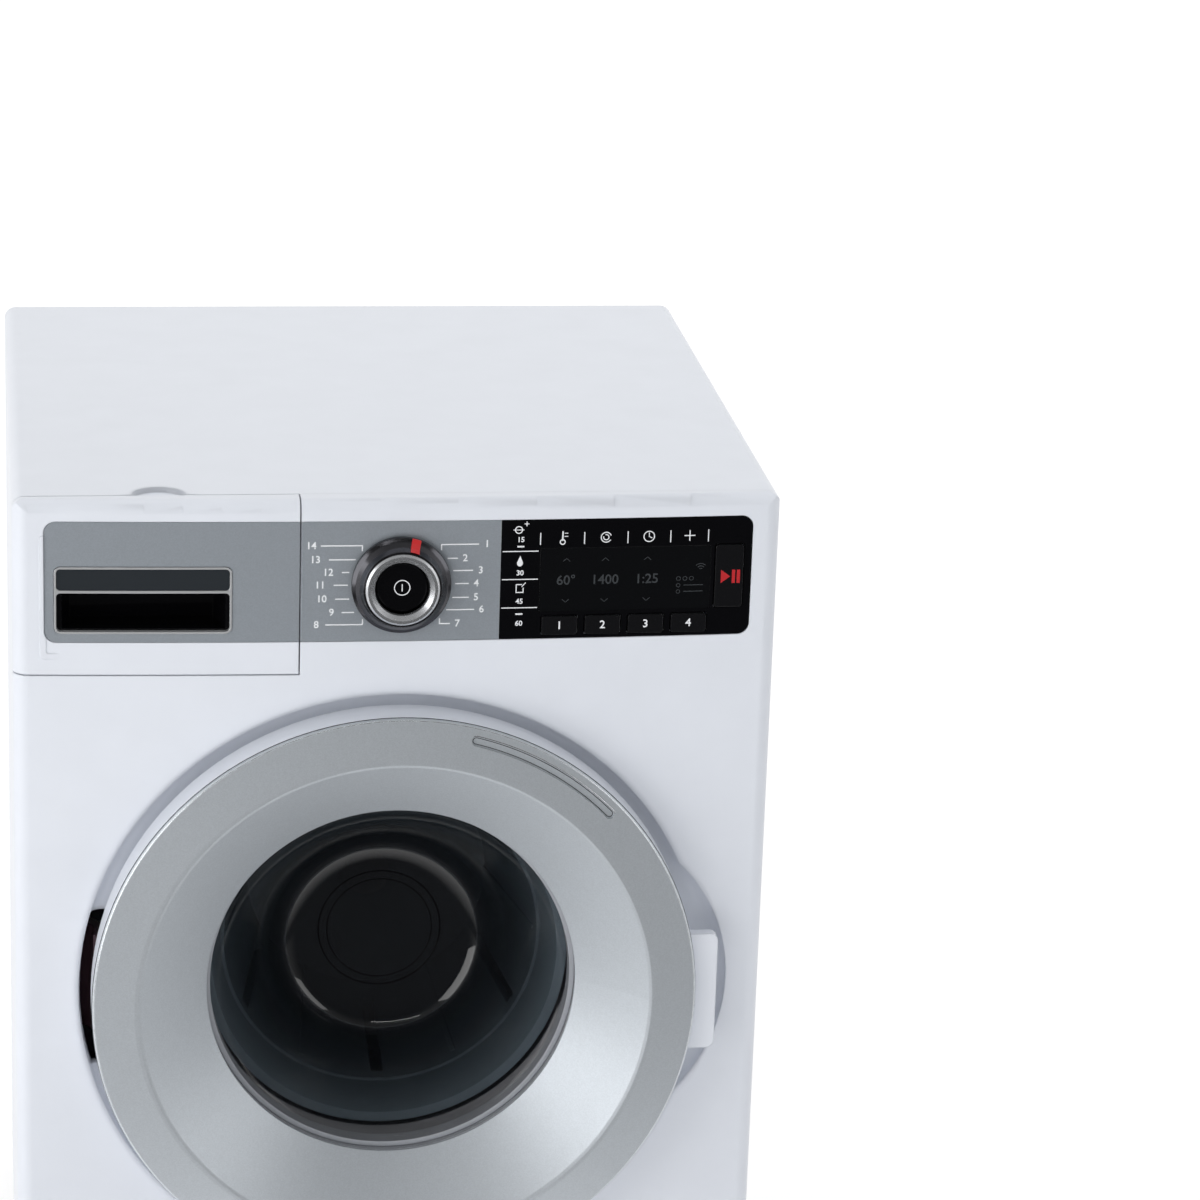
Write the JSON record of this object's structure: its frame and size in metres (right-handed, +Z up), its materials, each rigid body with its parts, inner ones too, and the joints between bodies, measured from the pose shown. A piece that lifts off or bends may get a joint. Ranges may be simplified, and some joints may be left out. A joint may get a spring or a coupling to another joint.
{
  "type": "toy washing machine",
  "caption": "Front-loading toy washing machine with a swinging window door, wash drawer, turning dial, press keys and a geared drum.",
  "frame": {"origin": "on the floor, under the middle of the whole machine with its closed door", "axes": "+Z up, the door faces -Y, +X to the right when facing the door"},
  "size_m": [0.185, 0.1948, 0.26],
  "materials": {
    "white_plastic": "glossy, faint blue tint",
    "silver_paint": "fine metallic satin paint on plastic",
    "black_gloss": "polished",
    "smoked_clear": "dark clear plastic",
    "display_dark": "dark display pane",
    "board_green": "circuit board",
    "light_rubber": "soft grey",
    "dark_plastic": "matte",
    "grey_plastic": "matte",
    "slate_plastic": "blue-grey drum plastic",
    "bright_chrome": "mirror",
    "pointer_red": "red",
    "steel": "plain",
    "brass_bush": "plain",
    "gear_white": "matte gear plastic",
    "battery_wrap": "plain sleeve"
  },
  "bodies": {
    "cabinet": {"housing": "white_plastic", "front_panel": "white_plastic", "rear_panel": "white_plastic", "base_plate": "white_plastic", "feet": "grey_plastic", "case_screws": "steel", "fascia_plate": "silver_paint", "display_panel": "black_gloss", "display_window": "display_dark", "lcd_module": "display_dark", "circuit_board": "board_green", "key_switches": "light_rubber", "dial_encoder": "dark_plastic", "speaker": "dark_plastic", "dispenser_box": "white_plastic", "inlet_chute": "grey_plastic", "hinge_bracket": "steel", "hinge_pin": "steel", "latch_catch": "grey_plastic", "tub": "grey_plastic", "tub_seal": "light_rubber", "drain_spout": "grey_plastic", "drain_plug": "light_rubber", "shaft_bush": "brass_bush", "motor": "steel", "motor_bracket": "steel", "battery_box": "dark_plastic", "batteries": "battery_wrap", "battery_contacts": "steel", "battery_cover": "white_plastic", "cover_screw": "steel"},
    "drawer": {"drawer_front": "white_plastic", "drawer_label": "silver_paint", "drawer_pull": "black_gloss", "pull_trim": "bright_chrome", "pull_plate": "display_dark", "drawer_tray": "white_plastic"},
    "dial": {"dial_skirt": "silver_paint", "dial_ring": "bright_chrome", "dial_pointer": "pointer_red", "dial_stem": "grey_plastic"},
    "power_button": {"power_cap": "black_gloss"},
    "key_1": {"key_1": "black_gloss"},
    "key_2": {"key_2": "black_gloss"},
    "key_3": {"key_3": "black_gloss"},
    "key_4": {"key_4": "black_gloss"},
    "start_key": {"start_key": "black_gloss"},
    "door": {"door_frame": "white_plastic", "door_bezel": "silver_paint", "door_window": "smoked_clear", "window_retainer": "white_plastic", "hinge_arm": "white_plastic", "latch_hook": "grey_plastic", "door_screws": "steel"},
    "drum": {"drum": "slate_plastic", "drum_ring": "slate_plastic", "drum_shaft": "steel", "drum_gear": "gear_white"},
    "pinion": {"motor_pinion": "gear_white"}
  },
  "joints": [
    {"name": "door_hinge", "type": "hinge", "parent": "cabinet", "child": "door", "pos_m": [-0.082, -0.07805, 0.134], "axis": [0, 0, -1], "range_deg": [0, 105]},
    {"name": "drawer_slide", "type": "slide", "parent": "cabinet", "child": "drawer", "axis": [0, -1, 0], "range_m": [0, 0.07]},
    {"name": "dial_turn", "type": "hinge", "parent": "cabinet", "child": "dial", "pos_m": [0, -0.08565, 0.2393], "axis": [0, 1, 0], "continuous": true},
    {"name": "power_press", "type": "slide", "parent": "cabinet", "child": "power_button", "axis": [0, 1, 0], "range_m": [0, 0.001], "stiffness_N_per_m": 300, "springref_m": -0.001},
    {"name": "key_1_press", "type": "slide", "parent": "cabinet", "child": "key_1", "axis": [0, 1, 0], "range_m": [0, 0.001], "stiffness_N_per_m": 300, "springref_m": -0.001},
    {"name": "key_2_press", "type": "slide", "parent": "cabinet", "child": "key_2", "axis": [0, 1, 0], "range_m": [0, 0.001], "stiffness_N_per_m": 300, "springref_m": -0.001},
    {"name": "key_3_press", "type": "slide", "parent": "cabinet", "child": "key_3", "axis": [0, 1, 0], "range_m": [0, 0.001], "stiffness_N_per_m": 300, "springref_m": -0.001},
    {"name": "key_4_press", "type": "slide", "parent": "cabinet", "child": "key_4", "axis": [0, 1, 0], "range_m": [0, 0.001], "stiffness_N_per_m": 300, "springref_m": -0.001},
    {"name": "start_press", "type": "slide", "parent": "cabinet", "child": "start_key", "axis": [0, 1, 0], "range_m": [0, 0.001], "stiffness_N_per_m": 300, "springref_m": -0.001},
    {"name": "drum_spin", "type": "hinge", "parent": "cabinet", "child": "drum", "pos_m": [0, -0.03565, 0.134], "axis": [0, 1, 0], "continuous": true},
    {"name": "pinion_spin", "type": "hinge", "parent": "cabinet", "child": "pinion", "pos_m": [0, 0.01435, 0.10275], "axis": [0, 1, 0], "continuous": true}
  ],
  "couplings": [
    {"joint": "pinion_spin", "follows": "drum_spin", "ratio": -4}
  ]
}
